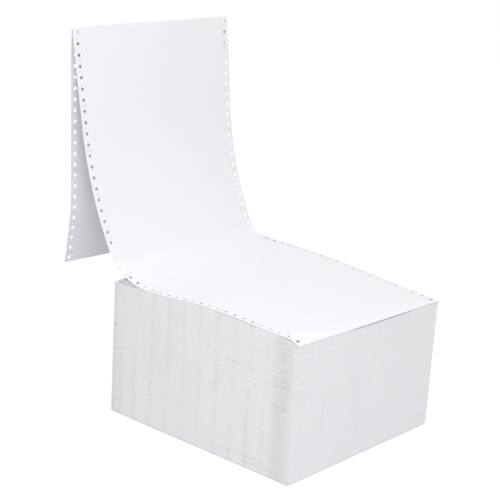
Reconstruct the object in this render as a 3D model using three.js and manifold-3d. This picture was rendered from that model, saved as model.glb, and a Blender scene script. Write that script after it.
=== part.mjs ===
// Fanfold continuous form paper. One long web of thin paper has a row of sprocket holes
// along each edge and is folded to and fro at every page, into a stack. The last three
// pages are drawn off: one lies on the stack, the next stands up behind it and the end
// page hangs down at the back from the fold between them.
//
// Millimetres, +Z up. +X points to the front fold of the stack and Y runs across the
// web. The origin is the middle of the stack's bottom face.

import * as THREE from 'three';
import { mergeGeometries, mergeVertices } from 'three/addons/utils/BufferGeometryUtils.js';
import Module from 'manifold-3d';

const wasm = await Module();
wasm.setup();

// The web
const holePitch = 12.7; // from one sprocket hole to the next
const holesPerPage = 22; // a page is a whole number of pitches long
const holeDiameter = 4;
const holeInset = 6; // from the web's edge to the middle of a hole
const webWidth = 241.3;
const tearStrip = 12.7; // width of the strip that tears off along each edge
const sheetThickness = 0.1;

// The stack
const sheetsInStack = 1650;
const leanForward = 8.4; // how far the top has slid towards the front fold
const leanSideways = -1.8; // and along Y
const frontSinkLeft = 6.1; // the lying page's front corners are this far below the
const frontSinkRight = 10.4; // stack's mean height
const backSinkLeft = 2.5; // and the stack's own back corners, under the lying page
const backSinkRight = -5;
const ridgeCount = 38; // folds that show as ridges up the front and the back
const foldGroove = 0.5; // depth of the grooves between the ridges of folds
const edgeGroove = 0.25; // depth of the lines between the cut edges of the sheets

// The pages that are drawn off
const frontFoldRadius = 0.6; // where the lying page turns over into the stack
const topFoldRadius = 0.35; // where the raised page turns over into the end page
const tuckedLength = 3; // how far the web runs into the stack past the front fold
const raisedTilt = 0.3; // sideways tilt of the raised pages, in degrees
const liftOff = 0.86; // where the lying page leaves the stack, in pages from the front

// Each row of holes follows a curve made of arcs. A pair gives a place along the web, in
// pages from the front fold, and the web's direction there in degrees: 0 runs level
// towards the back, 90 straight up and -90 straight down.
const lyingLeft = [[0, 37], [0.06, 1], [0.2, 3], [0.4, 2], [0.6, -5], [0.75, -2], [0.86, 6]];
const lyingRight = [[0, 7.5], [0.15, 4], [0.36, 6.5], [0.56, 3.5], [0.75, 1.5], [0.93, 2]];
const raisedLeft = [[0.91, 20], [0.98, 16], [1.03, 63.5], [1.15, 63], [1.6, 81], [2, 81.5]];
const raisedRight = [[0.99, 1.5], [1.06, 63.5], [1.2, 67.5], [1.55, 82.5], [1.65, 85.5], [2, 84]];
const hanging = [[2, -89], [2.6, -89.5], [2.7, -89], [2.84, -80.5], [3, -78.5]];

// How finely the curved faces are divided
const bendPerRow = 7; // degrees of bend that one row of faces spans, at most
const holeSides = 8;
const foldSteps = 6;
const stackSteps = 8; // from front to back
const stepsCrowd = 1.4; // above 1, they lie closer together towards the front fold

const pageLength = holePitch * holesPerPage;
const stackHeight = sheetsInStack * sheetThickness;
const halfWidth = webWidth / 2;
const holeRow = halfWidth - holeInset;
const degree = Math.PI / 180;
const frontTurn = Math.PI * frontFoldRadius;
const topTurn = (raisedLeft.at(-1)[1] - hanging[0][1]) * degree * topFoldRadius;
const webStart = -frontTurn - tuckedLength;
const lyingDrop = 2 * frontFoldRadius - sheetThickness; // from the lying page to the stack

// A row of holes as a curve: place along the web to { x, z, angle }. It starts inside the
// stack, turns over at the front fold and ends at the foot of the hanging page.
function rowCurve(lying, raised, frontSink) {
  const inMillimetres = ([pages, angle]) => ({ s: pages * pageLength, angle });
  const stations = [
    { s: webStart, angle: 180 + lying[0][1] },
    { s: -frontTurn, angle: 180 + lying[0][1] },
    ...lying.map(inMillimetres),
    ...raised.map(inMillimetres),
    ...hanging.map(inMillimetres),
  ];
  // The sharp fold between the raised and the hanging page has its own short arc
  const top = 1 + lying.length + raised.length;
  stations[top].s -= topTurn / 2;
  stations[top + 1].s += topTurn / 2;

  const along = (from, to, s) => {
    const a = from.angle * degree;
    const turn = ((to.angle - from.angle) * degree) / (to.s - from.s);
    const b = a + turn * (s - from.s);
    if (Math.abs(turn) < 1e-9) {
      const run = s - from.s;
      return { x: from.x - Math.cos(a) * run, z: from.z + Math.sin(a) * run, angle: b };
    }
    return {
      x: from.x - (Math.sin(b) - Math.sin(a)) / turn,
      z: from.z + (Math.cos(a) - Math.cos(b)) / turn,
      angle: b,
    };
  };
  Object.assign(stations[0], { x: 0, z: 0 });
  for (let i = 1; i < stations.length; i++) {
    const { x, z } = along(stations[i - 1], stations[i], stations[i].s);
    Object.assign(stations[i], { x, z });
  }
  const fold = stations[2];
  const shiftX = pageLength / 2 - frontFoldRadius - fold.x;
  const shiftZ = stackHeight - frontSink - fold.z;
  return (s) => {
    let i = 1;
    while (i < stations.length - 1 && stations[i].s < s) i++;
    const point = along(stations[i - 1], stations[i], s);
    return { x: point.x + shiftX, z: point.z + shiftZ, angle: point.angle };
  };
}

const leftRow = rowCurve(lyingLeft, raisedLeft, frontSinkLeft);
const rightRow = rowCurve(lyingRight, raisedRight, frontSinkRight);

// The whole object leans: what is higher has slid further, up to the top of the stack,
// and the raised pages tilt sideways above it.
function lean(point) {
  const slid = Math.min(point.z / stackHeight, 1);
  const raised = Math.max(point.z - stackHeight, 0);
  point.x += leanForward * slid;
  point.y += leanSideways * slid + Math.tan(raisedTilt * degree) * raised;
  return point;
}

// The bent web: a point of the flat web, s along and y across, goes to its place in space
function bentPoint(s, y) {
  const left = leftRow(s);
  const right = rightRow(s);
  const across = (y + holeRow) / (2 * holeRow);
  return lean(new THREE.Vector3(
    THREE.MathUtils.lerp(left.x, right.x, across),
    y,
    THREE.MathUtils.lerp(left.z, right.z, across),
  ));
}

function bentNormal(s, y) {
  const step = 0.01;
  const along = bentPoint(s + step, y).sub(bentPoint(s - step, y));
  const across = bentPoint(s, y + step).sub(bentPoint(s, y - step));
  return along.cross(across).normalize();
}

// One tile of the flat web from s0 to s1 and y0 to y1, with `rows` faces along its length
// and, where a hole is wanted, a round one at its middle in s and at `holeY` in y.
function tile(s0, s1, y0, y1, rows, holeY) {
  const shape = new THREE.Shape();
  shape.moveTo(s0, y0);
  for (let i = 1; i <= rows; i++) shape.lineTo(THREE.MathUtils.lerp(s0, s1, i / rows), y0);
  for (let i = rows; i >= 0; i--) shape.lineTo(THREE.MathUtils.lerp(s0, s1, i / rows), y1);
  shape.closePath();
  if (holeY !== undefined) {
    const hole = new THREE.Path();
    hole.absarc(pitchMiddle(s0, s1), holeY, holeDiameter / 2, 0, 2 * Math.PI, true);
    shape.holes.push(hole);
  }
  return new THREE.ShapeGeometry(shape, holeSides / 2);
}

// The middle of the pitch that the stretch from s0 to s1 lies in
function pitchMiddle(s0, s1) {
  return (Math.floor((s0 + s1) / 2 / holePitch) + 0.5) * holePitch;
}

// The flat, punched web, as one surface of tiles that share their corners
function flatWeb() {
  const tiles = [];
  const inner = halfWidth - tearStrip;
  const plainRow = (s0, s1) => {
    tiles.push(tile(s0, s1, -halfWidth, -inner, 1));
    tiles.push(tile(s0, s1, -inner, inner, 1));
    tiles.push(tile(s0, s1, inner, halfWidth, 1));
  };
  const turnOver = (s0, s1) => {
    for (let i = 0; i < foldSteps; i++) {
      const at = (k) => THREE.MathUtils.lerp(s0, s1, k / foldSteps);
      plainRow(at(i), at(i + 1));
    }
  };
  plainRow(webStart, -frontTurn);
  turnOver(-frontTurn, 0);
  turnOver(2 * pageLength - topTurn / 2, 2 * pageLength + topTurn / 2);
  for (let i = 0; i < 3 * holesPerPage; i++) {
    const beforeTopFold = i + 1 === 2 * holesPerPage;
    const afterTopFold = i === 2 * holesPerPage;
    const s0 = i * holePitch + (afterTopFold ? topTurn / 2 : 0);
    const s1 = (i + 1) * holePitch - (beforeTopFold ? topTurn / 2 : 0);
    const bend = (row) => Math.abs(row(s1 - 0.01).angle - row(s0 + 0.01).angle) / degree;
    const rows = Math.max(1, Math.ceil(Math.max(bend(leftRow), bend(rightRow)) / bendPerRow));
    tiles.push(tile(s0, s1, -halfWidth, -inner, rows, -holeRow));
    for (let k = 0; k < rows; k++) {
      const at = (n) => THREE.MathUtils.lerp(s0, s1, n / rows);
      tiles.push(tile(at(k), at(k + 1), -inner, inner, 1));
    }
    tiles.push(tile(s0, s1, inner, halfWidth, rows, holeRow));
  }
  return weld(mergeGeometries(tiles));
}

function weld(geometry) {
  geometry.deleteAttribute('normal');
  geometry.deleteAttribute('uv');
  return mergeVertices(geometry, 1e-4);
}

// The flat surface becomes a bent sheet: a copy of it on each side of its middle, and a
// wall along every edge that only one triangle has, round the web and round each hole.
function bentSheet(flat, thickness) {
  const place = flat.getAttribute('position');
  const count = place.count;
  const corners = new Float32Array(count * 6);
  for (let i = 0; i < count; i++) {
    const middle = bentPoint(place.getX(i), place.getY(i));
    const half = bentNormal(place.getX(i), place.getY(i)).multiplyScalar(thickness / 2);
    middle.clone().add(half).toArray(corners, 3 * i);
    middle.clone().sub(half).toArray(corners, 3 * (count + i));
  }
  const index = flat.getIndex().array;
  const faces = [];
  const open = new Map();
  for (let i = 0; i < index.length; i += 3) {
    const [a, b, c] = index.slice(i, i + 3);
    faces.push(a, b, c, count + a, count + c, count + b);
    for (const [from, to] of [[a, b], [b, c], [c, a]]) {
      if (!open.delete(`${to} ${from}`)) open.set(`${from} ${to}`, [from, to]);
    }
  }
  for (const [from, to] of open.values()) {
    faces.push(from, count + from, count + to, from, count + to, to);
  }
  const sheet = new THREE.BufferGeometry();
  sheet.setAttribute('position', new THREE.BufferAttribute(corners, 3));
  sheet.setIndex(faces);
  return sheet;
}

// Height of the stack's top at x, y, before it leans. Under the lying page it follows
// that page at the depth of the front fold, and behind it runs on to the back corners.
function stackTop(x, y) {
  const heightBelow = (row, backSink) => {
    const fold = row(0);
    if (x > fold.x) return fold.z - lyingDrop - (x - fold.x) * Math.tan(fold.angle);
    const leaves = row(liftOff * pageLength);
    if (x < leaves.x) {
      const back = stackHeight - backSink;
      return THREE.MathUtils.mapLinear(x, leaves.x, -pageLength / 2, leaves.z - lyingDrop, back);
    }
    let near = 0;
    let far = liftOff * pageLength;
    for (let halving = 0; halving < 30; halving++) {
      const middle = (near + far) / 2;
      if (row(middle).x > x) near = middle;
      else far = middle;
    }
    return row(near).z - lyingDrop;
  };
  const across = (y + holeRow) / (2 * holeRow);
  return THREE.MathUtils.lerp(
    heightBelow(leftRow, backSinkLeft),
    heightBelow(rightRow, backSinkRight),
    across,
  );
}

function placeInStack(point) {
  point.z *= stackTop(point.x, point.y) / stackHeight;
  return lean(point);
}

// The stack: a block whose front and back are ridged by the folds, turn and turn about,
// and whose sides are lined by the cut edges. Then it takes the shape of the real pile.
function stackBlock() {
  const levels = 2 * ridgeCount;
  const size = [pageLength, webWidth, stackHeight];
  const block = weld(new THREE.BoxGeometry(...size, stackSteps, 1, levels));
  const place = block.getAttribute('position');
  for (let i = 0; i < place.count; i++) {
    const point = new THREE.Vector3().fromBufferAttribute(place, i);
    point.z += stackHeight / 2;
    const level = Math.round((point.z / stackHeight) * levels);
    const onFront = point.x > pageLength / 2 - 1e-3;
    const onBack = point.x < -pageLength / 2 + 1e-3;
    const fromFront = Math.max(0.5 - point.x / pageLength, 0);
    point.x = (0.5 - fromFront ** stepsCrowd) * pageLength;
    if (onFront && level % 2 === 0) point.x -= foldGroove;
    if (onBack && level % 2 === 1) point.x += foldGroove;
    if (Math.abs(point.y) > halfWidth - 1e-3 && level % 2 === 0) {
      point.y -= Math.sign(point.y) * edgeGroove;
    }
    placeInStack(point);
    place.setXYZ(i, point.x, point.y, point.z);
  }
  return block;
}

// The holes of all the sheets lie over each other and make channels through the stack
function channels() {
  const cutters = [];
  const overrun = 1;
  for (let i = 0; i < holesPerPage; i++) {
    for (const y of [-holeRow, holeRow]) {
      const length = stackHeight + 2 * overrun;
      const cutter = new THREE.CylinderGeometry(holeDiameter / 2, holeDiameter / 2, length, holeSides);
      cutter.rotateX(Math.PI / 2);
      cutter.translate(pageLength / 2 - (i + 0.5) * holePitch, y, stackHeight / 2);
      const place = cutter.getAttribute('position');
      for (let k = 0; k < place.count; k++) {
        const point = placeInStack(new THREE.Vector3().fromBufferAttribute(place, k));
        place.setXYZ(k, point.x, point.y, point.z);
      }
      cutters.push(weld(cutter));
    }
  }
  return mergeGeometries(cutters);
}

function toSolid(geometry) {
  return new wasm.Manifold(new wasm.Mesh({
    numProp: 3,
    vertProperties: new Float32Array(geometry.getAttribute('position').array),
    triVerts: new Uint32Array(geometry.getIndex().array),
  }));
}

function toGeometry(solid) {
  const mesh = solid.getMesh();
  const geometry = new THREE.BufferGeometry();
  geometry.setAttribute('position', new THREE.BufferAttribute(mesh.vertProperties, 3));
  geometry.setIndex(new THREE.BufferAttribute(mesh.triVerts, 1));
  geometry.computeVertexNormals();
  return geometry;
}

const whitePaper = new THREE.MeshStandardMaterial({ color: 0xf3f3f6, roughness: 0.85, metalness: 0 });

const stack = toSolid(stackBlock()).subtract(toSolid(channels()));
const drawnOff = toSolid(bentSheet(flatWeb(), sheetThickness));
const paper = new THREE.Mesh(toGeometry(stack.add(drawnOff)), whitePaper);
paper.name = 'fanfold_paper';

const fanfoldForm = new THREE.Group();
fanfoldForm.add(paper);

export default fanfoldForm;
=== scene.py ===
# %% [markdown]
# # Fanfold continuous form paper
#
# Continuous paper is one long web. It has a strip of sprocket holes along each edge, and
# it is folded to and fro at every page into a stack. Here the last three pages are drawn
# off: one lies on the stack, the next stands up behind it, and the end page hangs down
# from the fold between them.
#
# The solid model gives the sizes. This script dresses it with a finer web and a finer
# stack, whose folds and cut edges can be seen one pack of sheets at a time.

import math
import random
from functools import cache

import bmesh
import bpy
from mathutils import Matrix, Vector, noise


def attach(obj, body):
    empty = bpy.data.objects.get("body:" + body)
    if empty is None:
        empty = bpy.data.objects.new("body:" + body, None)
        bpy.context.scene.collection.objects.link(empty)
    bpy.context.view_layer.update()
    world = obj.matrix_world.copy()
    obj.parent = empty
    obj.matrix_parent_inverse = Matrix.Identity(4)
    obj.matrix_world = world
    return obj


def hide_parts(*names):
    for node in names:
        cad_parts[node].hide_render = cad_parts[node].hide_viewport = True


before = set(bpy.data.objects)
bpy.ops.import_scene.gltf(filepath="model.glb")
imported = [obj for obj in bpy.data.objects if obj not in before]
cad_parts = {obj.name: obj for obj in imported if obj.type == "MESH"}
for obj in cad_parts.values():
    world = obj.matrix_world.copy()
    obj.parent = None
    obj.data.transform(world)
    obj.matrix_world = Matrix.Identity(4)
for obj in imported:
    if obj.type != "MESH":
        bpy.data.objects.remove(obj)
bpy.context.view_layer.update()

# %% [markdown]
# The sizes of such paper are standard. Holes are half an inch apart, so a page of 22
# holes is 11 inches long, and the web is 9.5 inches wide with its two tear-off strips.
# Everything here is in metres, and `MM` keeps the numbers readable.

# %% Sizes of the web and of the stack
MM = 0.001
INCH = 25.4 * MM

HOLE_PITCH = INCH / 2
HOLES_PER_PAGE = 22
HOLE_RADIUS = 2 * MM
HOLE_INSET = 6 * MM
WEB_WIDTH = 9.5 * INCH
TEAR_STRIP = INCH / 2
SHEET = 0.1 * MM
STACK_HEIGHT = 1650 * SHEET
LEAN_FORWARD = 8.4 * MM
LEAN_SIDEWAYS = -1.8 * MM

PAGE = HOLE_PITCH * HOLES_PER_PAGE
HALF_WIDTH = WEB_WIDTH / 2
FIELD_WIDTH = WEB_WIDTH - 2 * TEAR_STRIP
HOLE_ROW = HALF_WIDTH - HOLE_INSET
print(f"a page is {PAGE / MM:.1f} by {WEB_WIDTH / MM:.1f} mm")

# %% [markdown]
# The camera stands where the photographer stood: in front of the corner between the cut
# edges and the front folds, a little above the stack, and held almost level. A long lens
# keeps the edges nearly parallel. Its axes are built from the three angles, because a
# roll about the view axis is hard to read from Euler angles.

# %% Camera
CAMERA_AZIMUTH = math.radians(42.70)
CAMERA_HEIGHT_ANGLE = math.radians(16.47)
CAMERA_ROLL = math.radians(1.74)
CAMERA_PLACE = Vector((1.0374, -1.1631, 0.6646))
LENS_IN_PIXELS = 1436.4
PICTURE_PIXELS = 500


def make_camera():
    level = math.cos(CAMERA_HEIGHT_ANGLE)
    forward = Vector((
        -math.sin(CAMERA_AZIMUTH) * level,
        math.cos(CAMERA_AZIMUTH) * level,
        -math.sin(CAMERA_HEIGHT_ANGLE),
    ))
    level_right = forward.cross(Vector((0, 0, 1))).normalized()
    level_up = level_right.cross(forward)
    right = level_right * math.cos(CAMERA_ROLL) + level_up * math.sin(CAMERA_ROLL)
    up = right.cross(forward)
    lens = bpy.data.cameras.new("view")
    lens.sensor_width = 36
    lens.lens = LENS_IN_PIXELS / PICTURE_PIXELS * lens.sensor_width
    lens.clip_end = 20
    camera = bpy.data.objects.new("view", lens)
    turn = Matrix((right, up, -forward)).transposed().to_4x4()
    camera.matrix_world = Matrix.Translation(CAMERA_PLACE) @ turn
    bpy.context.scene.collection.objects.link(camera)
    bpy.context.scene.camera = camera
    print(f"lens {lens.lens:.1f} mm")


make_camera()

# %% [markdown]
# Paper bends but doesn't stretch, so a page is best described by the direction it runs
# in, place by place. Each row of holes is such a curve, a chain of arcs: a pair gives a
# place in pages from the front fold and a direction in degrees, where 0 runs level
# towards the back, 90 up and -90 down. The two rows differ a little, and that difference
# is the twist of the raised page.

# %% The two rows of holes as curves
FRONT_FOLD_RADIUS = 0.6 * MM
TOP_FOLD_RADIUS = 0.35 * MM
BACK_FOLD_RADIUS = 0.45 * MM
TUCKED_LENGTH = 3 * MM
RAISED_TILT = math.radians(0.3)

LYING_LEFT = [(0, 37), (0.06, 1), (0.2, 3), (0.4, 2), (0.6, -5), (0.75, -2), (0.86, 6)]
LYING_RIGHT = [(0, 7.5), (0.15, 4), (0.36, 6.5), (0.56, 3.5), (0.75, 1.5), (0.93, 2)]
RAISED_LEFT = [(0.91, 20), (0.98, 16), (1.03, 63.5), (1.15, 63), (1.6, 81), (2, 81.5)]
RAISED_RIGHT = [(0.99, 1.5), (1.06, 63.5), (1.2, 67.5), (1.55, 82.5), (1.65, 85.5), (2, 84)]
HANGING = [(2, -89), (2.6, -89.5), (2.7, -89), (2.84, -80.5), (3, -78.5)]

FRONT_TURN = math.pi * FRONT_FOLD_RADIUS
TOP_TURN = math.radians(RAISED_LEFT[-1][1] - HANGING[0][1]) * TOP_FOLD_RADIUS
BACK_TURN = math.pi * BACK_FOLD_RADIUS
WEB_START = -FRONT_TURN - PAGE - BACK_TURN - TUCKED_LENGTH


def mix(a, b, t):
    return a + (b - a) * t


def smooth_step(low, high, value):
    """0 below the low value, 1 above the high one, and a soft rise between them."""
    t = min(max((value - low) / (high - low), 0), 1)
    return t * t * (3 - 2 * t)


def around(place, middle, core, reach):
    """1 within the core round the middle, and 0 further from it than the reach."""
    return 1 - smooth_step(core, reach, abs(place - middle))


# %% [markdown]
# The page under the lying one belongs to the web too. It starts at the front fold, lies
# close below the top page and turns down at the back, where its left corner has been
# pulled up and forward. It needs no arcs of its own: it hangs a small drop below the
# lying page for as long as that lies, and then runs straight on to the back fold.

# %% The gap between the two pages, and where the lower one is pulled
CLOSE_GAP = 0.25 * MM
CLOSES_WITHIN = 30 * MM
LEAVES_AT = 0.86 * PAGE
SLIPS_FROM = 0.84 * PAGE
LIFTS_FROM = 0.88 * PAGE


def drop_under_page(run):
    """From the lying page down to the one below it, at a distance from the front fold."""
    return mix(2 * FRONT_FOLD_RADIUS, CLOSE_GAP, smooth_step(0, CLOSES_WITHIN, run))


print(f"the two pages lie {drop_under_page(PAGE) / MM:.2f} mm apart")


# %% A row of holes, from the back fold to the foot of the hanging page
class RowCurve:
    """One row of holes as a curve in x and z, made of arcs."""

    def __init__(self, lying, raised, front_sink, back_sink, lift, slip):
        """The sinks say how far the corners are below the stack's mean height. Lift and
        slip say how far the page below is pulled up and forward at its back corner."""
        self.back_height = STACK_HEIGHT - back_sink + 2 * FRONT_FOLD_RADIUS
        self.lift = lift
        self.slip = slip
        places = [(-FRONT_TURN, 180 + lying[0][1])]
        places += [(pages * PAGE, angle) for pages, angle in lying + raised]
        places[-1] = (2 * PAGE - TOP_TURN / 2, places[-1][1])
        places += [(2 * PAGE + TOP_TURN / 2, HANGING[0][1])]
        places += [(pages * PAGE, angle) for pages, angle in HANGING[1:]]
        self.s = [s for s, angle in places]
        self.angle = [math.radians(angle) for s, angle in places]
        self.x = [0.0]
        self.z = [0.0]
        for i in range(len(places) - 1):
            x, z = self.on_arc(i, self.s[i + 1])
            self.x.append(x)
            self.z.append(z)
        self.shift_x = PAGE / 2 - FRONT_FOLD_RADIUS - self.x[1]
        self.shift_z = STACK_HEIGHT - front_sink - self.z[1]

    def on_arc(self, i, s):
        """Where arc number i has come to at s. Its start is known by then."""
        run = s - self.s[i]
        start = self.angle[i]
        turn = (self.angle[i + 1] - start) / (self.s[i + 1] - self.s[i])
        if abs(turn) < 1e-6:
            return self.x[i] - math.cos(start) * run, self.z[i] + math.sin(start) * run
        end = start + turn * run
        x = self.x[i] - (math.sin(end) - math.sin(start)) / turn
        z = self.z[i] + (math.cos(start) - math.cos(end)) / turn
        return x, z

    @cache
    def at(self, s):
        """The x and z of the place s along the web."""
        if s < -FRONT_TURN:
            return self.under(-FRONT_TURN - s)
        i = 0
        while i < len(self.s) - 2 and self.s[i + 1] < s:
            i += 1
        x, z = self.on_arc(i, s)
        return x + self.shift_x, z + self.shift_z

    @cache
    def height_at(self, x):
        """Height of the lying page at x, run on to the back where it has left the stack."""
        fold_x, fold_z = self.at(0)
        if x > fold_x:
            return fold_z - (x - fold_x) * math.tan(self.angle[1])
        leaves_x, leaves_z = self.at(LEAVES_AT)
        if x < leaves_x:
            return mix(leaves_z, self.back_height, (leaves_x - x) / (leaves_x + PAGE / 2))
        near, far = 0.0, LEAVES_AT
        for halving in range(20):
            middle = (near + far) / 2
            if self.at(middle)[0] > x:
                near = middle
            else:
                far = middle
        return self.at(near)[1]

    def pulled_up(self, flat):
        """How far the page below is lifted, at a distance from the front fold."""
        return self.lift * smooth_step(LIFTS_FROM, PAGE, flat)

    def under(self, run):
        """The page below the lying one, at a distance back from the front fold."""
        flat = min(run, PAGE)
        x = self.at(0)[0] - flat + self.slip * smooth_step(SLIPS_FROM, PAGE, flat)
        z = self.height_at(x) - drop_under_page(flat) + self.pulled_up(flat)
        turned = min(max(run - PAGE, 0) / BACK_FOLD_RADIUS, math.pi)
        tucked = max(run - PAGE - BACK_TURN, 0)
        x += tucked - BACK_FOLD_RADIUS * math.sin(turned)
        z -= BACK_FOLD_RADIUS * (1 - math.cos(turned))
        return x, z


left_row = RowCurve(
    LYING_LEFT, RAISED_LEFT, front_sink=6.1 * MM, back_sink=1.3 * MM, lift=1.2 * MM, slip=8.5 * MM)
right_row = RowCurve(
    LYING_RIGHT, RAISED_RIGHT, front_sink=10.4 * MM, back_sink=-5 * MM, lift=0, slip=2.4 * MM)
print("top fold, left and right:", left_row.at(2 * PAGE), right_row.at(2 * PAGE))

# %% [markdown]
# A point of the flat web now has a place in space: between the two rows at its own `s`,
# and then slid with the whole pile, which leans towards its front. The normal comes from
# two short steps on the bent sheet, along it and across it.


# %% From the flat web to the bent one
def lean(point):
    """Slides a point of the upright pile to its place in the leaning one."""
    slid = min(point.z / STACK_HEIGHT, 1)
    raised = max(point.z - STACK_HEIGHT, 0)
    point.x += LEAN_FORWARD * slid
    point.y += LEAN_SIDEWAYS * slid + math.tan(RAISED_TILT) * raised
    return point


def across_web(y):
    """0 at the left row of holes and 1 at the right one."""
    return (y + HOLE_ROW) / (2 * HOLE_ROW)


def bent_point(s, y):
    left = left_row.at(s)
    right = right_row.at(s)
    across = across_web(y)
    return lean(Vector((mix(left[0], right[0], across), y, mix(left[1], right[1], across))))


def bent_normal(s, y):
    step = 0.05 * MM
    along = bent_point(s + step, y) - bent_point(s - step, y)
    across = bent_point(s, y + step) - bent_point(s, y - step)
    return along.cross(across).normalized()


# %% [markdown]
# ## Punching a page
#
# A Boolean could punch the holes, but it leaves long thin faces that shade badly once
# the sheet is bent. A punched strip is better made as a row of equal cells. One cell is
# a square frame of edges round a circle, joined by `bridge_loops`, and `spin` with no
# angle but a step along the web repeats it. The plain field between the strips is a grid
# whose divisions meet those of the cells, so a weld closes the sheet.


# %% A flat page with its holes
def punch_cell(bm, cuts):
    """A square of paper with a round hole, nearer the outer edge than its middle."""
    bmesh.ops.create_grid(bm, x_segments=1, y_segments=1, size=HOLE_PITCH / 2)
    bmesh.ops.delete(bm, geom=bm.faces[:], context="FACES_ONLY")
    if cuts:
        bmesh.ops.subdivide_edges(bm, edges=bm.edges[:], cuts=cuts)
    circle = bmesh.ops.create_circle(
        bm, cap_ends=False, radius=HOLE_RADIUS, segments=4 * (cuts + 1))["verts"]
    # Half a quarter turn lines the circle's points up with those of the square
    eighth = Matrix.Rotation(math.pi / 4, 3, "Z")
    bmesh.ops.rotate(bm, verts=circle, cent=(0, 0, 0), matrix=eighth)
    bmesh.ops.translate(bm, verts=circle, vec=(0, TEAR_STRIP / 2 - HOLE_INSET, 0))
    bmesh.ops.bridge_loops(bm, edges=bm.edges[:])


def punched_page(bm, pages, cuts, field_columns):
    """Fills an empty mesh with flat paper from s = 0, so many pages long."""
    pitches = pages * HOLES_PER_PAGE
    punch_cell(bm, cuts)
    first_cell = (HOLE_PITCH / 2, HALF_WIDTH - TEAR_STRIP / 2, 0)
    bmesh.ops.translate(bm, verts=bm.verts, vec=first_cell)
    bmesh.ops.spin(
        bm, geom=bm.verts[:] + bm.edges[:] + bm.faces[:], cent=(0, 0, 0), axis=(0, 0, 1),
        dvec=(HOLE_PITCH, 0, 0), angle=0, steps=pitches - 1, use_duplicate=True)
    bmesh.ops.mirror(bm, geom=bm.verts[:] + bm.edges[:] + bm.faces[:], axis="Y", merge_dist=0)
    length = pitches * HOLE_PITCH
    field = Matrix.Diagonal((length, FIELD_WIDTH, 1, 1))
    place = Matrix.Translation((length / 2, 0, 0)) @ field
    bmesh.ops.create_grid(
        bm, x_segments=pitches * (cuts + 1), y_segments=field_columns, size=0.5, matrix=place)
    bmesh.ops.remove_doubles(bm, verts=bm.verts, dist=0.01 * MM)
    bmesh.ops.recalc_face_normals(bm, faces=bm.faces)
    print(f"punched {pages} pages: {len(bm.verts)} points, {len(bm.faces)} faces")


# %% [markdown]
# ## The drawn pages
#
# The web is punched flat, gets its three sharp folds as a few extra cuts across it and a
# wall 0.1 mm thick, and is then bent point by point. The wall comes first, because its
# thickness is exact on a flat sheet. Before it is bent, each point writes where it lay
# into the UV map, in metres, so that crimp marks and perforations follow the web later.

# %% Sheet quality
WEB_CUTS = 5
FIELD_COLUMNS = 30
FOLD_STEPS = 8


def new_piece(name, bm, materials):
    """Turns a finished mesh into an object at the origin."""
    mesh = bpy.data.meshes.new(name)
    bm.to_mesh(mesh)
    bm.free()
    piece = bpy.data.objects.new(name, mesh)
    bpy.context.scene.collection.objects.link(piece)
    for material in materials:
        mesh.materials.append(material)
    triangles = sum(len(polygon.vertices) - 2 for polygon in mesh.polygons)
    print(f"{name}: {triangles} triangles")
    return piece


def cut_across(bm, s):
    """A straight row of edges across the web, for a fold to bend at."""
    everything = bm.verts[:] + bm.edges[:] + bm.faces[:]
    bmesh.ops.bisect_plane(bm, geom=everything, plane_co=(s, 0, 0), plane_no=(1, 0, 0), dist=1e-7)


def flat_web():
    """Four pages from the back fold to the foot of the end page, with a tongue and a wall."""
    bm = bmesh.new()
    punched_page(bm, 4, WEB_CUTS, FIELD_COLUMNS)
    bmesh.ops.translate(bm, verts=bm.verts, vec=(-PAGE, 0, 0))
    under = [vert for vert in bm.verts if vert.co.x < -1e-6]
    bmesh.ops.translate(bm, verts=under, vec=(-FRONT_TURN, 0, 0))
    first = min(vert.co.x for vert in bm.verts)
    end = [edge for edge in bm.edges if all(vert.co.x < first + 1e-6 for vert in edge.verts)]
    tongue = bmesh.ops.extrude_edge_only(bm, edges=end)["geom"]
    tongue_verts = [part for part in tongue if isinstance(part, bmesh.types.BMVert)]
    bmesh.ops.translate(bm, verts=tongue_verts, vec=(WEB_START - first, 0, 0))
    for step in range(FOLD_STEPS + 1):
        part = step / FOLD_STEPS
        cut_across(bm, -FRONT_TURN * part)
        cut_across(bm, -FRONT_TURN - PAGE - BACK_TURN * part)
        cut_across(bm, 2 * PAGE + TOP_TURN * (part - 0.5))
    bmesh.ops.recalc_face_normals(bm, faces=bm.faces)
    bmesh.ops.solidify(bm, geom=bm.faces[:], thickness=SHEET)
    heights = [vert.co.z for vert in bm.verts]
    bmesh.ops.translate(bm, verts=bm.verts, vec=(0, 0, -(min(heights) + max(heights)) / 2))
    return bm


# %% [markdown]
# Real paper is never a perfect cylinder. Handling leaves long, shallow waves in the
# raised page, a fraction of a millimetre deep, which fade out near the folds. The end
# page keeps some of its spring, and bulges outward just below the top fold.

# %% Unevenness of the drawn pages
WAVE_DEPTH = 0.5 * MM
WAVE_LENGTH = 90 * MM
FOLD_BULGE = 1.4 * MM
BULGE_LENGTH = 0.25 * PAGE


def unevenness(s, y):
    """How far the sheet lies off its smooth curve."""
    free = smooth_step(1.05 * PAGE, 1.3 * PAGE, s) * smooth_step(0, 0.12 * PAGE, 2 * PAGE - s)
    free += smooth_step(2.05 * PAGE, 2.3 * PAGE, s)
    wave = noise.noise(Vector((s / WAVE_LENGTH, y / WAVE_LENGTH, 0.3)))
    below_fold = min(max((s - 2 * PAGE) / BULGE_LENGTH, 0), 1)
    return WAVE_DEPTH * free * wave - FOLD_BULGE * math.sin(math.pi * below_fold) ** 2


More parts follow.
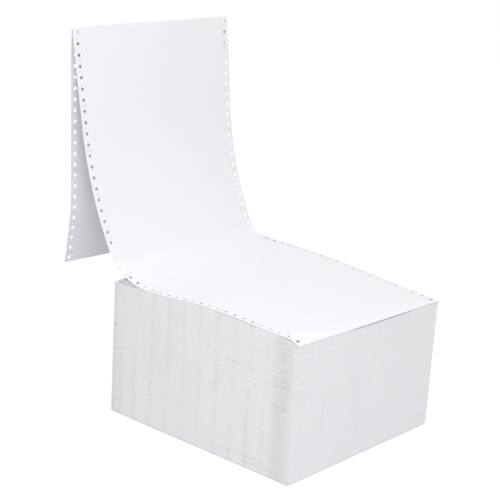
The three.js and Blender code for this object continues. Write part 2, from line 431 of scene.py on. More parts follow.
def bend_web(bm):
    """Notes where each point lay, and moves it to its place on the bent sheet."""
    flat_map = bm.loops.layers.uv.new("flat web")
    for face in bm.faces:
        for loop in face.loops:
            loop[flat_map].uv = (loop.vert.co.x, loop.vert.co.y)
    for vert in bm.verts:
        s, y, off_middle = vert.co
        vert.co = bent_point(s, y) + bent_normal(s, y) * (off_middle + unevenness(s, y))
    bm.normal_update()
    print(f"web: {bm.calc_volume(signed=True) * 1e6:.1f} cm3 of paper")


# %% [markdown]
# ## The stack
#
# Over a thousand folded sheets make the stack. From a step away they show as packs, a
# few sheets that shifted together, with dark lines between them. Its skin starts as one
# flat grid that is wrapped round the block: a column for each place on the outline, and
# three rows for each pack, one in the groove below it and two on its face.

# %% Outline of the stack, seen from above
EDGE_CUTS = 2
CAP_COLUMNS = 13
PACK_COUNT = 120


def outline():
    """Points round the block, from its back left corner along the left side first."""
    per_long = HOLES_PER_PAGE * (EDGE_CUTS + 1)
    along = [-PAGE / 2 + PAGE * i / per_long for i in range(per_long + 1)]
    strip = [TEAR_STRIP * i / (EDGE_CUTS + 1) for i in range(EDGE_CUTS + 1)]
    field = [FIELD_WIDTH * i / CAP_COLUMNS for i in range(CAP_COLUMNS)]
    across = [-HALF_WIDTH + step for step in strip]
    across += [-FIELD_WIDTH / 2 + step for step in field]
    across += [FIELD_WIDTH / 2 + step for step in strip] + [HALF_WIDTH]
    points = [(x, -HALF_WIDTH, "left") for x in along[:-1]]
    points += [(PAGE / 2, y, "front") for y in across[:-1]]
    points += [(x, HALF_WIDTH, "right") for x in reversed(along[1:])]
    points += [(-PAGE / 2, y, "back") for y in reversed(across[1:])]
    return points


OUTLINE = outline()
print(f"{len(OUTLINE)} columns round the stack")

# %% [markdown]
# The web is crimped at every fourth pitch, halfway between two holes. A page is five and
# a half such steps long, so the crimps of each page fall between those of the next, and
# upright bands stand on the sides at every second pitch. There the sheets can't press
# flat, and their cut edges are rougher. A few long gaps also open where a pack arches,
# the corners are ragged, and the lowest sheets are squeezed round at their edges.

# %% Crimp bands and gaps
CRIMP_STEP = 4 * HOLE_PITCH
CRIMP_FROM_FOLD = HOLE_PITCH
BAND_STEP = CRIMP_STEP / 2
BAND_HALF_WIDTH = 6 * MM
LOOSE_AT = 119 * MM
LOOSE_CORE = 5 * MM
LOOSE_REACH = 15 * MM

# Height, from x, to x, opening and depth of each long gap in the left side, in mm
GAPS = [
    (163.2, -160, -98, 0.6, 3.5),
    (118, 36, 92, 0.28, 1.2),
    (109, 94, 150, 0.30, 1.5),
    (86, 100, 150, 0.20, 1.2),
    (14, 30, 108, 0.28, 1.2),
    (9, 62, 140, 0.25, 1.0),
]


def crimp_band(x):
    """1 in the middle of a band of crimps on the stack's sides, 0 between the bands."""
    offset = (x + BAND_STEP / 2) % BAND_STEP - BAND_STEP / 2
    return around(offset, 0, 0.3 * BAND_HALF_WIDTH, BAND_HALF_WIDTH)


def looseness(x):
    """Near the front folds the sheets spread a little before they turn."""
    return around(x, LOOSE_AT, LOOSE_CORE, LOOSE_REACH)


print(f"bands of crimps stand {BAND_STEP / MM:.1f} mm apart")

# %% [markdown]
# A pack lies where chance left it. Its face stands a few hundredths of a millimetre in or
# out, the groove below it is shallow or, more seldom, deep, and at the back left corner
# some packs stand apart. A fixed seed gives the same pile at each run.

# %% Depths of the skin
BASE_INSET = 0.35 * MM
FACE_SHIFT = 0.03 * MM
GROOVE = 0.02 * MM
GROOVE_IN_BAND = 0.10 * MM
GROOVE_WHERE_LOOSE = 0.12 * MM
EDGE_WAVE = 6 * MM
FOLD_WAVE = 50 * MM
RAGGED = 0.42 * MM
RAGGED_CORE = 4 * MM
RAGGED_REACH = 11 * MM
GAP_TAPER = 12 * MM
FOOT_INSET = 1.6 * MM
FOOT_HEIGHT = 1.6 * MM


# %% Packs of sheets
class Packs:
    """The pack boundaries of the straight block, and how each pack lies."""

    def __init__(self, seed=7):
        draw = random.Random(seed)
        thickness = [draw.uniform(0.6, 1.4) for _ in range(PACK_COUNT)]
        scale = STACK_HEIGHT / sum(thickness)
        self.bottom = [0.0]
        for part in thickness:
            self.bottom.append(self.bottom[-1] + part * scale)
        self.shift = [draw.gauss(0, FACE_SHIFT) for _ in range(PACK_COUNT + 1)]
        self.groove = [0.3 + 2.5 * draw.random() ** 3 for _ in range(PACK_COUNT + 1)]
        self.ragged = [max(draw.gauss(0, RAGGED), 0) for _ in range(PACK_COUNT - 2)]
        # The highest three boundaries have none
        self.ragged += [0, 0, 0]
        self.gaps = {}
        for height, *gap in GAPS:
            nearest = min(range(PACK_COUNT), key=lambda i: abs(self.bottom[i] - height * MM))
            self.gaps[nearest] = [number * MM for number in gap]

    def inset(self, pack, row, x, y, side):
        """How far inward the skin lies at this pack and row. Row 0 is the groove below."""
        depth = GROOVE
        if side in ("left", "right"):
            band = crimp_band(x)
            depth += GROOVE_IN_BAND * band + GROOVE_WHERE_LOOSE * looseness(x)
            rough = noise.noise(Vector((x / EDGE_WAVE, pack * 0.7, 3.1)))
            lie = FACE_SHIFT * (0.5 + 1.5 * band) * rough
        else:
            lie = 2 * FACE_SHIFT * noise.noise(Vector((y / FOLD_WAVE, pack * 0.4, 8.2)))
        groove = depth * self.groove[pack] if row == 0 else 0
        return BASE_INSET + self.shift[pack] + lie + groove

    def gap(self, boundary, x, side):
        """Half opening and depth of the gap at this boundary and place."""
        if side != "left" or not 0 < boundary < PACK_COUNT:
            return 0.0, 0.0
        start, end, opening, depth = self.gaps.get(boundary, (0, 0, 0, 0))
        inside = smooth_step(0, GAP_TAPER, min(x - start, end - x))
        corner = around(x, -PAGE / 2, RAGGED_CORE, RAGGED_REACH)
        ragged = corner * self.ragged[boundary]
        return max(inside * opening, ragged) / 2, max(inside * depth, 2 * ragged)


packs = Packs()
print(f"{PACK_COUNT} packs, {len(packs.gaps)} long gaps")

# %% [markdown]
# The top of the block follows the page that lies on it. Between them the gap is small,
# apart from three places: it opens in the middle of the front edge, along a short stretch
# of the left edge, and a little at the back, where that page turns down.

# %% Height of the stack's top
TOUCHING = 0.15 * MM
FRONT_OPENING = 1.4 * MM
FRONT_OPEN_AT = 16 * MM
LEFT_OPENING = 0.6 * MM
LEFT_OPEN_AT = 55 * MM
BACK_OPENING = 0.25 * MM


def gap_under_pages(x, y):
    """How far the stack keeps below the lowest drawn page."""
    near_front = around(x, PAGE / 2, 0, 40 * MM)
    front = FRONT_OPENING * near_front * around(y, FRONT_OPEN_AT, 30 * MM, 62 * MM)
    near_left = around(y, -HALF_WIDTH, 0, 0.2 * HALF_WIDTH)
    left = LEFT_OPENING * near_left * around(x, LEFT_OPEN_AT, 10 * MM, 38 * MM)
    back = BACK_OPENING * around(x, -PAGE / 2, 0.05 * PAGE, 0.25 * PAGE)
    return TOUCHING + front + left + back


def stack_top(x, y):
    """Height of the stack below the page that lies on it, before the pile leans."""
    from_front = left_row.at(0)[0] - x
    page = mix(left_row.height_at(x), right_row.height_at(x), across_web(y))
    return page - drop_under_page(from_front) - gap_under_pages(x, y)


column_top = [stack_top(x, y) for x, y, side in OUTLINE]
print(f"the top is {min(column_top) / MM:.1f} to {max(column_top) / MM:.1f} mm high")

# %% [markdown]
# The few sheets above the highest gap go with the page that is pulled at the back: they
# are dragged up and forward at their left corner, and lie still at the right.

# %% Sheets that follow the pulled page
SLIPPED_BY = 6.5 * MM
SLIP_REACH = 45 * MM
HIGHEST_GAP = max(packs.gaps)


def slipped(x, y):
    """The way from a place in the straight pile to the same place in a dragged sheet."""
    near_left = around(y, -HALF_WIDTH, 0, HALF_WIDTH)
    near_back = around(x, -PAGE / 2, 0, SLIP_REACH)
    up = left_row.pulled_up(PAGE / 2 - x)
    return Vector((SLIPPED_BY * near_back, 0, up)) * near_left


print(f"{PACK_COUNT - HIGHEST_GAP} packs are dragged along")

# %% [markdown]
# Now the grid is wrapped. Its caps are two punched pages, welded to the top and bottom
# rows, and each hole of the top cap is bridged to the one below it, so the stack is one
# closed body with 44 channels through it.


# %% Wrap the skin round the block
def wrap_skin(bm):
    """A flat grid with a face for each column and row, put in place point by point."""
    columns = len(OUTLINE)
    rows = 3 * PACK_COUNT
    place = Matrix.Translation((columns / 2, rows / 2, 0)) @ Matrix.Diagonal((columns, rows, 1, 1))
    bmesh.ops.create_grid(bm, x_segments=columns, y_segments=rows, size=0.5, matrix=place)
    for face in bm.faces:
        middle = face.calc_center_median()
        side = OUTLINE[int(middle.x)][2]
        face.material_index = 1 if side in ("left", "right") else 2
    for vert in bm.verts:
        column = round(vert.co.x) % columns
        pack, row = divmod(round(vert.co.y), 3)
        vert.co = skin_point(column, pack, row)


def skin_point(column, pack, row):
    """The place of one grid point. Rows 1 and 2 are near the foot and top of the pack."""
    x, y, side = OUTLINE[column]
    slip = slipped(x, y)
    height = packs.bottom[pack]
    if row:
        thickness = packs.bottom[pack + 1] - height
        height += thickness * (0.15 if row == 1 else 0.85)
    at_end = row == 0 and pack in (0, PACK_COUNT)
    foot = FOOT_INSET * max(1 - height / FOOT_HEIGHT, 0)
    # A corner of the outline belongs to two sides, and takes the inset of both
    for face in sorted({side, OUTLINE[column - 1][2]}):
        inset = BASE_INSET if at_end else packs.inset(pack, row, x, y, face)
        opening, depth = packs.gap(pack + 1 if row == 2 else pack, x, face)
        # A gap below the pack lifts its foot, and a gap above it presses its top down
        height += opening * (0, 1, -1)[row]
        inset += foot + (depth if row == 0 else 0)
        if face == "left":
            y += inset
        elif face == "right":
            y -= inset
        elif face == "front":
            x -= inset
        else:
            x += inset
    point = Vector((x, y, height * column_top[column] / STACK_HEIGHT))
    if pack >= HIGHEST_GAP:
        in_the_gap = pack == HIGHEST_GAP and row == 0
        point += slip * (0.5 if in_the_gap else 1)
    return lean(point)


# %% Caps with their holes
# The sheets below don't lie hole over hole, so each channel starts a little off its hole
# and is narrower than it
HOLE_WANDER = 0.9 * MM
NARROWEST = 0.45


def hole_of(x, y):
    """Number of the hole whose rim is at x, y on the flat cap, or None, and its middle."""
    number = math.floor((PAGE / 2 - x) / HOLE_PITCH)
    middle = Vector((PAGE / 2 - (number + 0.5) * HOLE_PITCH, math.copysign(HOLE_ROW, y)))
    on_rim = (Vector((x, y)) - middle).length < 1.02 * HOLE_RADIUS
    hole = (number, y > 0) if on_rim else None
    return hole, middle


def flat_cap(bm, upper):
    """A punched page for one end of the block. Returns the rims of its holes."""
    cap = bmesh.new()
    punched_page(cap, 1, EDGE_CUTS, CAP_COLUMNS)
    bmesh.ops.translate(cap, verts=cap.verts, vec=(-PAGE / 2, 0, 0))
    if not upper:
        bmesh.ops.reverse_faces(cap, faces=cap.faces)
    sheet = bpy.data.meshes.new("cap")
    cap.to_mesh(sheet)
    cap.free()
    before = set(bm.verts)
    bm.from_mesh(sheet)
    bpy.data.meshes.remove(sheet)
    verts = [vert for vert in bm.verts if vert not in before]
    rims = {}
    for edge in bm.edges:
        if edge.is_boundary and edge.verts[0] not in before:
            holes = {hole_of(*vert.co.xy)[0] for vert in edge.verts}
            if None not in holes:
                rims.setdefault(holes.pop(), []).append(edge)
    draw = random.Random(11)
    wander = {}
    for hole in sorted(rims):
        wander[hole] = draw.gauss(0, HOLE_WANDER), draw.uniform(NARROWEST, 1)
    for vert in verts:
        x, y = vert.co.xy
        height = stack_top(x, y) if upper else 0
        slip = slipped(x, y) if upper else Vector()
        hole, middle = hole_of(x, y)
        if hole and upper:
            shift, size = wander[hole]
            x, y = middle + (vert.co.xy - middle) * size + Vector((shift, 0))
        inset = BASE_INSET + (0 if upper else FOOT_INSET)
        x = max(min(x, PAGE / 2 - inset), inset - PAGE / 2)
        y = max(min(y, HALF_WIDTH - inset), inset - HALF_WIDTH)
        vert.co = lean(Vector((x, y, height)) + slip)
    return rims


# %% Weld the stack
def build_stack():
    """The wrapped skin with both caps and the channels between them, as one closed body."""
    bm = bmesh.new()
    wrap_skin(bm)
    bmesh.ops.remove_doubles(bm, verts=bm.verts, dist=0.005 * MM)
    lower = flat_cap(bm, upper=False)
    upper = flat_cap(bm, upper=True)
    for hole, edges in upper.items():
        bmesh.ops.bridge_loops(bm, edges=edges + lower[hole])
    rim = [vert for vert in bm.verts if any(edge.is_boundary for edge in vert.link_edges)]
    bmesh.ops.remove_doubles(bm, verts=rim, dist=0.02 * MM)
    bmesh.ops.recalc_face_normals(bm, faces=bm.faces)
    left_open = sum(not edge.is_manifold for edge in bm.edges)
    print(f"stack: {left_open} open edges left, {bm.calc_volume() * 1e6:.0f} cm3")
    return bm


# %% [markdown]
# ## Paper as a material
#
# White paper is matt and nearly even. What gives it away close up is a fine cloudiness
# of fibres, which the first node group makes as a tone and a height. The second group
# measures the distance to the nearest crimp, because the crimps show both on the pages,
# as short dashes, and on the cut edges of the stack, as bands, each as relief and as
# painted shade.


# %% Small helpers for node trees
def socket_or_value(tree, socket, value):
    """Links an output to the socket, or sets the socket's own value."""
    if isinstance(value, bpy.types.NodeSocket):
        tree.links.new(value, socket)
    elif value is not None:
        socket.default_value = value


def calc(tree, operation, first, second=None, third=None):
    """One Math node. Each value is a number or another node's output."""
    node = tree.nodes.new("ShaderNodeMath")
    node.operation = operation
    for socket, value in zip(node.inputs, (first, second, third)):
        socket_or_value(tree, socket, value)
    return node.outputs[0]


def ramp_between(tree, value, low, high, to_low=0.0, to_high=1.0):
    """The same soft rise as smooth_step, between any two results."""
    node = tree.nodes.new("ShaderNodeMapRange")
    node.interpolation_type = "SMOOTHSTEP"
    for name, setting in (("Value", value), ("From Min", low), ("From Max", high),
                          ("To Min", to_low), ("To Max", to_high)):
        socket_or_value(tree, node.inputs[name], setting)
    return node.outputs["Result"]


def new_group(name, inputs, outputs):
    """An empty node group with its named sockets, and its first and last node."""
    tree = bpy.data.node_groups.new(name, "ShaderNodeTree")
    for label, kind, value in inputs:
        socket = tree.interface.new_socket(name=label, in_out="INPUT", socket_type=kind)
        if value is not None:
            socket.default_value = value
    for label, kind in outputs:
        tree.interface.new_socket(name=label, in_out="OUTPUT", socket_type=kind)
    start = tree.nodes.new("NodeGroupInput")
    end = tree.nodes.new("NodeGroupOutput")
    return tree, start, end


def use_group(tree, group, **values):
    """Places a group in a material, with values of its own."""
    node = tree.nodes.new("ShaderNodeGroup")
    node.node_tree = group
    for name, value in values.items():
        socket_or_value(tree, node.inputs[name.replace("_", " ")], value)
    return node


def noise_at(tree, vector, fineness, detail=2.0, roughness=0.5):
    """Noise with a fineness for each of x, y and z. At 0 it doesn't change that way."""
    stretch = tree.nodes.new("ShaderNodeMapping")
    tree.links.new(vector, stretch.inputs["Vector"])
    stretch.inputs["Scale"].default_value = fineness
    node = tree.nodes.new("ShaderNodeTexNoise")
    tree.links.new(stretch.outputs["Vector"], node.inputs["Vector"])
    node.inputs["Scale"].default_value = 1.0
    node.inputs["Detail"].default_value = detail
    node.inputs["Roughness"].default_value = roughness
    return node.outputs["Fac"]


# %% Group: fibre mottle
CLOUDS = (45, 45, 45)
FIBRE_GRAIN = (900, 2200, 1500)
CLOUD_SHARE = 0.6


def fibre_group():
    tree, start, end = new_group(
        "paper fibres",
        [("Vector", "NodeSocketVector", None), ("Depth", "NodeSocketFloat", 0.02)],
        [("Tone", "NodeSocketFloat"), ("Height", "NodeSocketFloat")])
    vector = start.outputs["Vector"]
    clouds = noise_at(tree, vector, CLOUDS, detail=4.0, roughness=0.6)
    fibres = noise_at(tree, vector, FIBRE_GRAIN, detail=3.0)
    both = calc(tree, "MULTIPLY", clouds, CLOUD_SHARE)
    both = calc(tree, "MULTIPLY_ADD", fibres, 1 - CLOUD_SHARE, both)
    swing = calc(tree, "MULTIPLY", calc(tree, "SUBTRACT", both, 0.5), start.outputs["Depth"])
    tree.links.new(calc(tree, "ADD", swing, 1.0), end.inputs["Tone"])
    tree.links.new(fibres, end.inputs["Height"])
    return tree


# %% Group: distance to the nearest crimp
def crimp_group():
    tree, start, end = new_group(
        "crimp rows",
        [("Along", "NodeSocketFloat", 0.0), ("First", "NodeSocketFloat", 0.0),
         ("Step", "NodeSocketFloat", CRIMP_STEP)],
        [("Distance", "NodeSocketFloat")])
    half = calc(tree, "MULTIPLY", start.outputs["Step"], 0.5)
    run = calc(tree, "SUBTRACT", start.outputs["Along"], start.outputs["First"])
    wrapped = calc(tree, "WRAP", calc(tree, "ADD", run, half), start.outputs["Step"], 0.0)
    offset = calc(tree, "SUBTRACT", wrapped, half)
    tree.links.new(calc(tree, "ABSOLUTE", offset), end.inputs["Distance"])
    return tree


FIBRES = fibre_group()
CRIMPS = crimp_group()
print("node groups:", FIBRES.name, "and", CRIMPS.name)

# %% [markdown]
# The three materials are nearly the same white: the cut edges are a little darker, as
# painted shade of the sheets on one another, and the folds are the smoothest and lightest.
# The pages carry two faint dashes at each crimp, pressed into the strip, and a row of slits
# where the strip tears off; both are darkened as painted shade of the crimps and the cuts.
# Thin paper also lets some light through, which a little subsurface scattering with a reach
# of less than the sheet's thickness gives: the raised page is darker where the end page
# hangs close behind it, and the end page is lit through it.

# %% Colours and finishes
PAPER_WHITE = (0.890, 0.885, 0.925)
# Darker than the page white: painted shade of the sheets on one another
EDGE_WHITE_IN_PAINTED_SHADE = (0.870, 0.870, 0.900)
FOLD_WHITE = (0.915, 0.912, 0.948)
PAPER_ROUGHNESS = 0.85
PAPER_SHINE = 0.25
LIGHT_THROUGH = 0.25
LIGHT_REACH = 0.03 * MM


def new_material(name, light_through=0.0):
    print("material:", name)
    material = bpy.data.materials.new(name)
    material.use_nodes = True
    tree = material.node_tree
    shader = tree.nodes["Principled BSDF"]
    shader.inputs["Roughness"].default_value = PAPER_ROUGHNESS
    shader.inputs["Specular IOR Level"].default_value = PAPER_SHINE
    shader.inputs["Subsurface Weight"].default_value = light_through
    shader.inputs["Subsurface Radius"].default_value = (1, 1, 1)
    shader.inputs["Subsurface Scale"].default_value = LIGHT_REACH
    return material, tree, shader


def tint(tree, colour, tone):
    """A colour made lighter or darker by a tone near 1."""
    node = tree.nodes.new("ShaderNodeVectorMath")
    node.operation = "SCALE"
    node.inputs[0].default_value = colour
    tree.links.new(tone, node.inputs["Scale"])
    return node.outputs["Vector"]


def add_bump(tree, shader, height, distance):
    """Relief that only shades, where a height of 1 stands out by the distance."""
    node = tree.nodes.new("ShaderNodeBump")
    node.inputs["Strength"].default_value = 1.0
    node.inputs["Distance"].default_value = distance
    tree.links.new(height, node.inputs["Height"])
    tree.links.new(node.outputs["Normal"], shader.inputs["Normal"])


def line_at(tree, value, place, half_width, soft):
    """1 where the value is at the place, and 0 further from it than the half width."""
    off = calc(tree, "ABSOLUTE", calc(tree, "SUBTRACT", value, place))
    return ramp_between(tree, off, half_width - soft, half_width, 1.0, 0.0)


# %% The pages
FIBRE_SWING = 0.02
FIBRE_RELIEF = 0.04
PAGE_RELIEF = 0.12 * MM
DASH_HALF_LENGTH = 4.2 * MM
DASH_HALF_WIDTH = 0.7 * MM
DASH_FROM_CRIMP = 1.1 * MM
DASH_PAINTED_SHADE = 0.13
SLIT_STEP = 1.6 * MM
SLIT_SHARE = 0.6
SLIT_HALF_WIDTH = 0.2 * MM
SLIT_PAINTED_SHADE = 0.05


def page_paper():
    material, tree, shader = new_material("white page with crimps", LIGHT_THROUGH)
    flat = tree.nodes.new("ShaderNodeUVMap")
    flat.uv_map = "flat web"
    parts = tree.nodes.new("ShaderNodeSeparateXYZ")
    tree.links.new(flat.outputs["UV"], parts.inputs["Vector"])
    along, across = parts.outputs["X"], calc(tree, "ABSOLUTE", parts.outputs["Y"])
    fibres = use_group(tree, FIBRES, Vector=flat.outputs["UV"], Depth=FIBRE_SWING)
    # Crimps are counted from the fold between the lying and the raised page
    crimp = use_group(tree, CRIMPS, Along=along, First=PAGE - CRIMP_FROM_FOLD)
    dash = line_at(tree, crimp.outputs["Distance"], DASH_FROM_CRIMP, DASH_HALF_WIDTH, 0.5 * MM)
    strip = line_at(tree, across, HOLE_ROW, DASH_HALF_LENGTH, 0.4 * MM)
    dashes = calc(tree, "MULTIPLY", dash, strip)
    # The strip tears off along short slits, darkened as painted shade of the cuts
    line = line_at(tree, across, FIELD_WIDTH / 2, SLIT_HALF_WIDTH, SLIT_HALF_WIDTH / 2)
    phase = calc(tree, "WRAP", along, SLIT_STEP, 0.0)
    slits = calc(tree, "MULTIPLY", line, calc(tree, "LESS_THAN", phase, SLIT_SHARE * SLIT_STEP))
    # The crimp dashes are darkened as painted shade of the pressed crimps, and pressed in as
    # relief
    painted_mark_shade = calc(tree, "MULTIPLY", dashes, DASH_PAINTED_SHADE)
    painted_mark_shade = calc(tree, "MULTIPLY_ADD", slits, SLIT_PAINTED_SHADE, painted_mark_shade)
    tone = calc(tree, "SUBTRACT", fibres.outputs["Tone"], painted_mark_shade)
    tree.links.new(tint(tree, PAPER_WHITE, tone), shader.inputs["Base Color"])
    relief = calc(tree, "MULTIPLY_ADD", fibres.outputs["Height"], FIBRE_RELIEF, dashes)
    add_bump(tree, shader, relief, PAGE_RELIEF)
    return material


# %% [markdown]
# The sides of the stack are cut edges on the left and right, and folds on the front and
# back. Lines too fine to model run level through both. On the cut edges they are rougher
# in the bands of crimps. On the folds the perforations of all the sheets lie over each
# other, so faint dashed columns stand where the strips tear off and here and there
# between them, as relief and as painted shade of the holes.


# %% Lines of the single sheets
LEVEL_LINES = (14, 14, 2400)
FAINT_CLOUDS = (26, 26, 14)
LINE_SWING = 0.03
CLOUD_SWING = 0.05


def place_in_stack(tree):
    """A surface point's place, whole and as its x, y and z."""
    place = tree.nodes.new("ShaderNodeTexCoord").outputs["Object"]
    parts = tree.nodes.new("ShaderNodeSeparateXYZ")
    tree.links.new(place, parts.inputs["Vector"])
    return place, parts.outputs


def leaned_back(tree, part, lean_by, height):
    """Undoes the lean of the stack, so that a pattern stands along with its sheets."""
    slid = calc(tree, "MULTIPLY", height, lean_by / STACK_HEIGHT)
    return calc(tree, "SUBTRACT", part, slid)


def sheet_lines(tree, place):
    """The lines, and a tone about 1 that they and a faint cloudiness give."""
    lines = noise_at(tree, place, LEVEL_LINES, detail=3.0)
    cloud = noise_at(tree, place, FAINT_CLOUDS)
    darkest = 1 - (LINE_SWING + CLOUD_SWING) / 2
    tone = calc(tree, "MULTIPLY_ADD", lines, LINE_SWING, darkest)
    return lines, calc(tree, "MULTIPLY_ADD", cloud, CLOUD_SWING, tone)


# %% Cut edges
FRAY_FROM_SHEET_TO_SHEET = (0, 0, 260)
FRAY_BY = 5 * MM
WANDER_ON_THE_WAY_UP = (13, 0, 3)
WANDER_BY = 22 * MM
BAND_CORE = 1 * MM
BAND_FADING = (24, 0, 13)
BAND_FADES_BETWEEN = (0.35, 0.62)
BAND_FAINTEST = 0.25
BAND_PAINTED_SHADE = 0.015
LOOSE_MIDDLE = LOOSE_AT + 3 * MM
LOOSE_HALF_WIDTH = 20 * MM
LOOSE_SOFT = 14 * MM
LOOSE_AT_BACK = 0.9
LOOSE_HATCHED = 0.8
LOOSE_PAINTED_SHADE = 0.06
HATCH_GRAIN = (150, 150, 1100)
HATCH_BETWEEN = (0.46, 0.64)
HATCH_PAINTED_SHADE = 0.09
EDGE_LINES = 0.25
EDGE_RELIEF = 0.12 * MM


def cut_edges():
    material, tree, shader = new_material("cut edges of the sheets")
    place, parts = place_in_stack(tree)
    lines, tone = sheet_lines(tree, place)
    along = leaned_back(tree, parts["X"], LEAN_FORWARD, parts["Z"])
    # No two bands stand quite upright, and none is as rough all the way up
    frayed = noise_at(tree, place, FRAY_FROM_SHEET_TO_SHEET, detail=3.0)
    wander = noise_at(tree, place, WANDER_ON_THE_WAY_UP, detail=1.0)
    shifted = calc(tree, "MULTIPLY_ADD", frayed, FRAY_BY, along)
    shifted = calc(tree, "MULTIPLY_ADD", wander, WANDER_BY, shifted)
    # Noise is a half on average, so half of both shifts is taken off again
    average = (FRAY_BY + WANDER_BY) / 2
    crimp = use_group(tree, CRIMPS, Along=shifted, First=average, Step=BAND_STEP)
    band = ramp_between(tree, crimp.outputs["Distance"], BAND_CORE, BAND_HALF_WIDTH, 1.0, 0.0)
    fading = noise_at(tree, place, BAND_FADING, detail=1.0)
    strength = ramp_between(tree, fading, *BAND_FADES_BETWEEN, BAND_FAINTEST, 1.0)
    band = calc(tree, "MULTIPLY", band, strength)
    # The sheets are loose near the front folds, and at the back nearly as much, and get painted
    # shade there
    near_front = line_at(tree, along, LOOSE_MIDDLE, LOOSE_HALF_WIDTH, LOOSE_SOFT)
    near_back = ramp_between(tree, along, -PAGE / 2, -PAGE / 2 + LOOSE_SOFT, LOOSE_AT_BACK, 0.0)
    loose = calc(tree, "MAXIMUM", near_front, near_back)
    # Rough places are hatched by single sheets that stand out, as relief and as painted shade
    hatch = noise_at(tree, place, HATCH_GRAIN)
    frays = calc(tree, "MAXIMUM", band, calc(tree, "MULTIPLY", loose, LOOSE_HATCHED))
    rough = calc(tree, "MULTIPLY", frays, ramp_between(tree, hatch, *HATCH_BETWEEN))
    # Bands, hatching and loose places are darkened: painted shade between the sheets
    painted_edge_shade = calc(tree, "MULTIPLY", band, BAND_PAINTED_SHADE)
    painted_edge_shade = calc(tree, "MULTIPLY_ADD", rough, HATCH_PAINTED_SHADE, painted_edge_shade)
    painted_edge_shade = calc(tree, "MULTIPLY_ADD", loose, LOOSE_PAINTED_SHADE, painted_edge_shade)
    tone = calc(tree, "SUBTRACT", tone, painted_edge_shade)
    tree.links.new(tint(tree, EDGE_WHITE_IN_PAINTED_SHADE, tone), shader.inputs["Base Color"])
    add_bump(tree, shader, calc(tree, "MULTIPLY_ADD", lines, EDGE_LINES, rough), EDGE_RELIEF)
    return material


# %% Folds
FOLD_COLUMNS = (0, 260, 9)
COLUMNS_BETWEEN = (0.66, 0.74)
FOLD_DASHES = (0, 40, 420)
DASHES_BETWEEN = (0.42, 0.58)
PRICK_HALF_WIDTH = 0.6 * MM
PRICK_PAINTED_SHADE = 0.05
FOLD_LINES = 0.4
FOLD_RELIEF = 0.10 * MM


def folded_edges():
    material, tree, shader = new_material("folded edges of the sheets")
    place, parts = place_in_stack(tree)
    lines, tone = sheet_lines(tree, place)
    across = leaned_back(tree, parts["Y"], LEAN_SIDEWAYS, parts["Z"])
    from_middle = calc(tree, "ABSOLUTE", across)
    strip = line_at(tree, from_middle, FIELD_WIDTH / 2, PRICK_HALF_WIDTH, 0.4 * MM)
    # Only the peaks of this noise are used, so that few columns show
    columns = noise_at(tree, place, FOLD_COLUMNS, detail=1.0)
    columns = ramp_between(tree, columns, *COLUMNS_BETWEEN)
    dashes = ramp_between(tree, noise_at(tree, place, FOLD_DASHES), *DASHES_BETWEEN)
    pricked = calc(tree, "MULTIPLY", dashes, calc(tree, "MAXIMUM", strip, columns))
    # The pricked columns are darkened as painted shade of the holes
    tone = calc(tree, "SUBTRACT", tone, calc(tree, "MULTIPLY", pricked, PRICK_PAINTED_SHADE))
    tree.links.new(tint(tree, FOLD_WHITE, tone), shader.inputs["Base Color"])
    relief = calc(tree, "SUBTRACT", calc(tree, "MULTIPLY", lines, FOLD_LINES), pricked)
    add_bump(tree, shader, relief, FOLD_RELIEF)
    return material


# %% [markdown]
# ## Put the pieces together
#
# Both pieces stand for the one solid of paper and ride on its body. The web is shaded
# smooth with sharp rims, and the stack flat, so that each pack catches its own light.

# %% The drawn pages
page_finish = page_paper()
web_bm = flat_web()
bend_web(web_bm)
drawn_pages = new_piece("drawn_pages", web_bm, [page_finish])
drawn_pages.data.shade_smooth()
drawn_pages.data.set_sharp_from_angle(angle=math.radians(50))

# %% The stack
finishes = [page_finish, cut_edges(), folded_edges()]
paper_stack = new_piece("paper_stack", build_stack(), finishes)

for piece in (drawn_pages, paper_stack):
    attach(piece, "root")
    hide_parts("fanfold_paper")

# %% [markdown]
# ## Light and ground
#
# White paper shows its form only by small steps of grey, so the sky is almost even: it
# gives most of the light, and one large soft lamp over the front corner adds the rest.
# The ground is a white sweep. To the camera it also glows a little, so that it is white
# in the picture and keeps only a faint shadow. The glow lights nothing else.

# %% Sky, lamp and ground
SKY_STRENGTH = 0.74
LAMP_PLACE = Vector((0.62, -0.72, 1.20))
LAMP_AIM = Vector((0, 0, 0.15))
LAMP_POWER = 7.8
LAMP_SIZE = 0.8
GROUND_HALF_SIZE = 12
# How white the ground is in the light that it throws back, and in the picture
GROUND_WHITE = 0.71
GROUND_SEEN = 0.70
GROUND_GLOW = 0.50


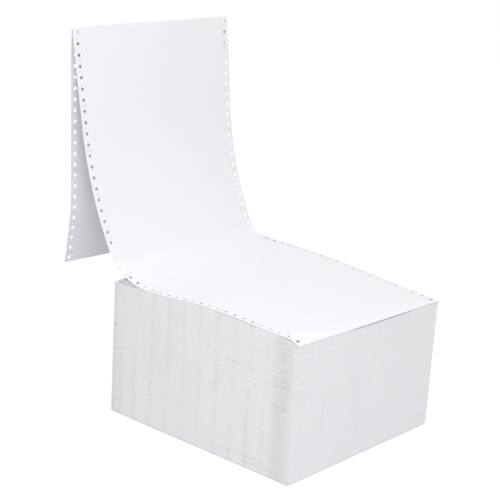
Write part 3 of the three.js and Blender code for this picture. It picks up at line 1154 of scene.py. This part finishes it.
def seen_directly(tree):
    """1 for rays that show a thing to the camera, straight, mirrored or through glass."""
    rays = tree.nodes.new("ShaderNodeLightPath").outputs
    seen = calc(tree, "MAXIMUM", rays["Is Camera Ray"], rays["Is Glossy Ray"])
    return calc(tree, "MAXIMUM", seen, rays["Is Transmission Ray"])


def make_sky():
    """A white sky, at full strength where it is seen and weaker as a light."""
    world = bpy.data.worlds.new("studio")
    bpy.context.scene.world = world
    world.use_nodes = True
    tree = world.node_tree
    sky = tree.nodes["Background"]
    sky.inputs["Color"].default_value = (1, 1, 1, 1)
    strength = calc(tree, "MULTIPLY_ADD", seen_directly(tree), 1 - SKY_STRENGTH, SKY_STRENGTH)
    tree.links.new(strength, sky.inputs["Strength"])


def add_lamp():
    light = bpy.data.lights.new("soft lamp", "AREA")
    light.shape = "SQUARE"
    light.size = LAMP_SIZE
    light.energy = LAMP_POWER
    lamp = bpy.data.objects.new("soft lamp", light)
    lamp.location = LAMP_PLACE
    lamp.rotation_mode = "QUATERNION"
    lamp.rotation_quaternion = (LAMP_AIM - LAMP_PLACE).to_track_quat("-Z", "Y")
    bpy.context.scene.collection.objects.link(lamp)


def white_sweep():
    material = bpy.data.materials.new("white sweep")
    material.use_nodes = True
    tree = material.node_tree
    shader = tree.nodes["Principled BSDF"]
    shader.inputs["Roughness"].default_value = 1.0
    shader.inputs["Specular IOR Level"].default_value = 0.0
    seen = seen_directly(tree)
    white = calc(tree, "MULTIPLY_ADD", seen, GROUND_SEEN - GROUND_WHITE, GROUND_WHITE)
    tree.links.new(white, shader.inputs["Base Color"])
    shader.inputs["Emission Color"].default_value = (1, 1, 1, 1)
    glow = calc(tree, "MULTIPLY", seen, GROUND_GLOW)
    tree.links.new(glow, shader.inputs["Emission Strength"])
    return material


def make_ground():
    bm = bmesh.new()
    bmesh.ops.create_grid(bm, x_segments=1, y_segments=1, size=GROUND_HALF_SIZE)
    ground = new_piece("ground", bm, [white_sweep()])


make_sky()
add_lamp()
make_ground()
bpy.context.scene.view_settings.view_transform = "Standard"
